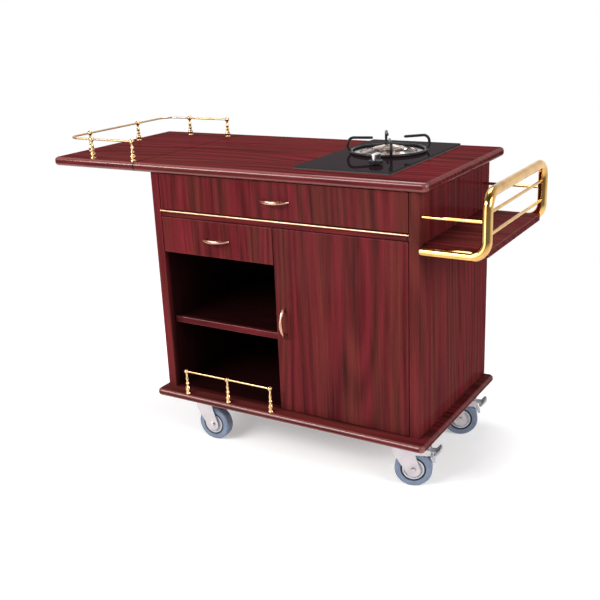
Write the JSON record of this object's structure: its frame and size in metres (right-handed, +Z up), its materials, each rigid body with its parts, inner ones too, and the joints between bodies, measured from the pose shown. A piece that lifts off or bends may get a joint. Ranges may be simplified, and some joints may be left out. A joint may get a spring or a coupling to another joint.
{
  "type": "flambe trolley",
  "caption": "Mahogany serving trolley with a gas hob in its worktop, folding leaf with brass gallery, drawers, cupboard, open bays, railed side shelf and swivel casters.",
  "frame": {"origin": "on the floor under the middle of the overall box", "axes": "+X along the length towards the side shelf, front faces -Y, +Z up"},
  "size_m": [1.3444, 0.577, 0.8835],
  "materials": {
    "mahogany": "satin laminate",
    "drawer_board": "lacquered board",
    "brass": "polished",
    "handle_brass": "satin champagne",
    "plated_steel": "zinc plated",
    "black_glass": "opaque black, gloss",
    "tray_steel": "sheet",
    "chrome": "polished",
    "burner_alloy": "cast",
    "burner_brass": "satin",
    "black_enamel": "black enamel",
    "tap_brass": "machined",
    "knob": "black with a chromed grip",
    "caster_zinc": "zinc plated",
    "caster_hub": "white",
    "tyre": "blue grey",
    "pedal_grey": "grey"
  },
  "bodies": {
    "chassis": {"base_board": "mahogany", "left_side_panel": "mahogany", "right_side_panel": "mahogany", "back_panel": "mahogany", "centre_divider": "mahogany", "drawer_deck": "mahogany", "bay_shelves": "mahogany", "worktop": "mahogany", "side_shelf": "mahogany", "trim_strip": "brass", "lower_gallery_posts": "brass", "lower_gallery_rail": "brass", "side_rail_tube": "brass", "side_rail_rods": "brass", "drawer_runners": "plated_steel", "leaf_hinge_fixed": "plated_steel", "stay_tracks": "plated_steel", "caster_screws": "plated_steel", "hob_glass": "black_glass", "hob_tray": "tray_steel", "drip_pan": "chrome", "burner_base": "burner_alloy", "burner_cap": "burner_brass", "valve_body": "tap_brass", "gas_pipes": "tap_brass", "caster_plates": "caster_zinc"},
    "top_drawer": {"top_drawer_front": "mahogany", "top_drawer_box": "drawer_board", "top_drawer_handle": "handle_brass", "top_drawer_slides": "plated_steel"},
    "small_drawer": {"small_drawer_front": "mahogany", "small_drawer_box": "drawer_board", "small_drawer_handle": "handle_brass", "small_drawer_slides": "plated_steel"},
    "door": {"door_panel": "mahogany", "door_handle": "handle_brass", "door_pivot_pins": "plated_steel"},
    "leaf": {"leaf_board": "mahogany", "leaf_gallery_posts": "brass", "leaf_gallery_rail": "brass", "leaf_hinge_moving": "plated_steel", "stay_brackets": "plated_steel"},
    "stays": {"stay_arms": "plated_steel"},
    "tap_plug": {"valve_plug": "tap_brass"},
    "knob": {"gas_knob": "knob"},
    "pan_support": {"pan_support": "black_enamel"},
    "front_left_swivel": {"front_left_fork": "caster_zinc"},
    "front_left_wheel": {"front_left_hub": "caster_hub", "front_left_tyre": "tyre"},
    "front_right_swivel": {"front_right_fork": "caster_zinc"},
    "front_right_wheel": {"front_right_hub": "caster_hub", "front_right_tyre": "tyre"},
    "front_right_brake": {"front_right_brake_pedal": "pedal_grey"},
    "rear_left_swivel": {"rear_left_fork": "caster_zinc"},
    "rear_left_wheel": {"rear_left_hub": "caster_hub", "rear_left_tyre": "tyre"},
    "rear_right_swivel": {"rear_right_fork": "caster_zinc"},
    "rear_right_wheel": {"rear_right_hub": "caster_hub", "rear_right_tyre": "tyre"},
    "rear_right_brake": {"rear_right_brake_pedal": "pedal_grey"}
  },
  "joints": [
    {"name": "top_drawer_slide", "type": "slide", "parent": "chassis", "child": "top_drawer", "axis": [0, -1, 0], "range_m": [0, 0.3]},
    {"name": "small_drawer_slide", "type": "slide", "parent": "chassis", "child": "small_drawer", "axis": [0, -1, 0], "range_m": [0, 0.3]},
    {"name": "door_swing", "type": "hinge", "parent": "chassis", "child": "door", "pos_m": [0.46175, -0.2425, 0.411], "axis": [0, 0, 1], "range_deg": [0, 100]},
    {"name": "leaf_fold", "type": "hinge", "parent": "chassis", "child": "leaf", "pos_m": [-0.36525, -0.0085, 0.7908], "axis": [0, -1, 0], "range_deg": [0, 90]},
    {"name": "stay_fold", "type": "hinge", "parent": "leaf", "child": "stays", "pos_m": [-0.44525, -0.0085, 0.783], "axis": [0, -1, 0], "range_deg": [-119.5, 0]},
    {"name": "knob_turn", "type": "hinge", "parent": "chassis", "child": "tap_plug", "pos_m": [0.31475, -0.1085, 0.79], "axis": [0, 0, 1], "range_deg": [0, 180]},
    {"name": "knob_push", "type": "slide", "parent": "tap_plug", "child": "knob", "axis": [0, 0, -1], "range_m": [0, 0.003], "stiffness_N_per_m": 2000, "springref_m": -0.003},
    {"name": "pan_support_lift", "type": "slide", "parent": "chassis", "child": "pan_support", "axis": [0, 0, 1], "range_m": [0, 0.08]},
    {"name": "front_left_swivel_turn", "type": "hinge", "parent": "chassis", "child": "front_left_swivel", "pos_m": [-0.19325, -0.2265, 0.117], "axis": [0, 0, 1], "continuous": true},
    {"name": "front_left_wheel_roll", "type": "hinge", "parent": "front_left_swivel", "child": "front_left_wheel", "pos_m": [-0.16727, -0.22559, 0.05], "axis": [-0.0349, 0.9994, 0], "continuous": true},
    {"name": "front_right_swivel_turn", "type": "hinge", "parent": "chassis", "child": "front_right_swivel", "pos_m": [0.44275, -0.2265, 0.117], "axis": [0, 0, 1], "continuous": true},
    {"name": "front_right_wheel_roll", "type": "hinge", "parent": "front_right_swivel", "child": "front_right_wheel", "pos_m": [0.46718, -0.21761, 0.05], "axis": [-0.342, 0.9397, 0], "continuous": true},
    {"name": "front_right_brake_press", "type": "hinge", "parent": "front_right_swivel", "child": "front_right_brake", "pos_m": [0.50289, -0.20461, 0.102], "axis": [-0.342, 0.9397, 0], "range_deg": [0, 7]},
    {"name": "rear_left_swivel_turn", "type": "hinge", "parent": "chassis", "child": "rear_left_swivel", "pos_m": [-0.19325, 0.1075, 0.117], "axis": [0, 0, 1], "continuous": true},
    {"name": "rear_left_wheel_roll", "type": "hinge", "parent": "rear_left_swivel", "child": "rear_left_wheel", "pos_m": [-0.1675, 0.11112, 0.05], "axis": [-0.1392, 0.9903, 0], "continuous": true},
    {"name": "rear_right_swivel_turn", "type": "hinge", "parent": "chassis", "child": "rear_right_swivel", "pos_m": [0.44275, 0.1075, 0.117], "axis": [0, 0, 1], "continuous": true},
    {"name": "rear_right_wheel_roll", "type": "hinge", "parent": "rear_right_swivel", "child": "rear_right_wheel", "pos_m": [0.46686, 0.11724, 0.05], "axis": [-0.3746, 0.9272, 0], "continuous": true},
    {"name": "rear_right_brake_press", "type": "hinge", "parent": "rear_right_swivel", "child": "rear_right_brake", "pos_m": [0.50209, 0.13148, 0.102], "axis": [-0.3746, 0.9272, 0], "range_deg": [0, 7]}
  ],
  "couplings": [
    {"joint": "stay_fold", "follows": "leaf_fold", "ratio": -1.3219}
  ]
}
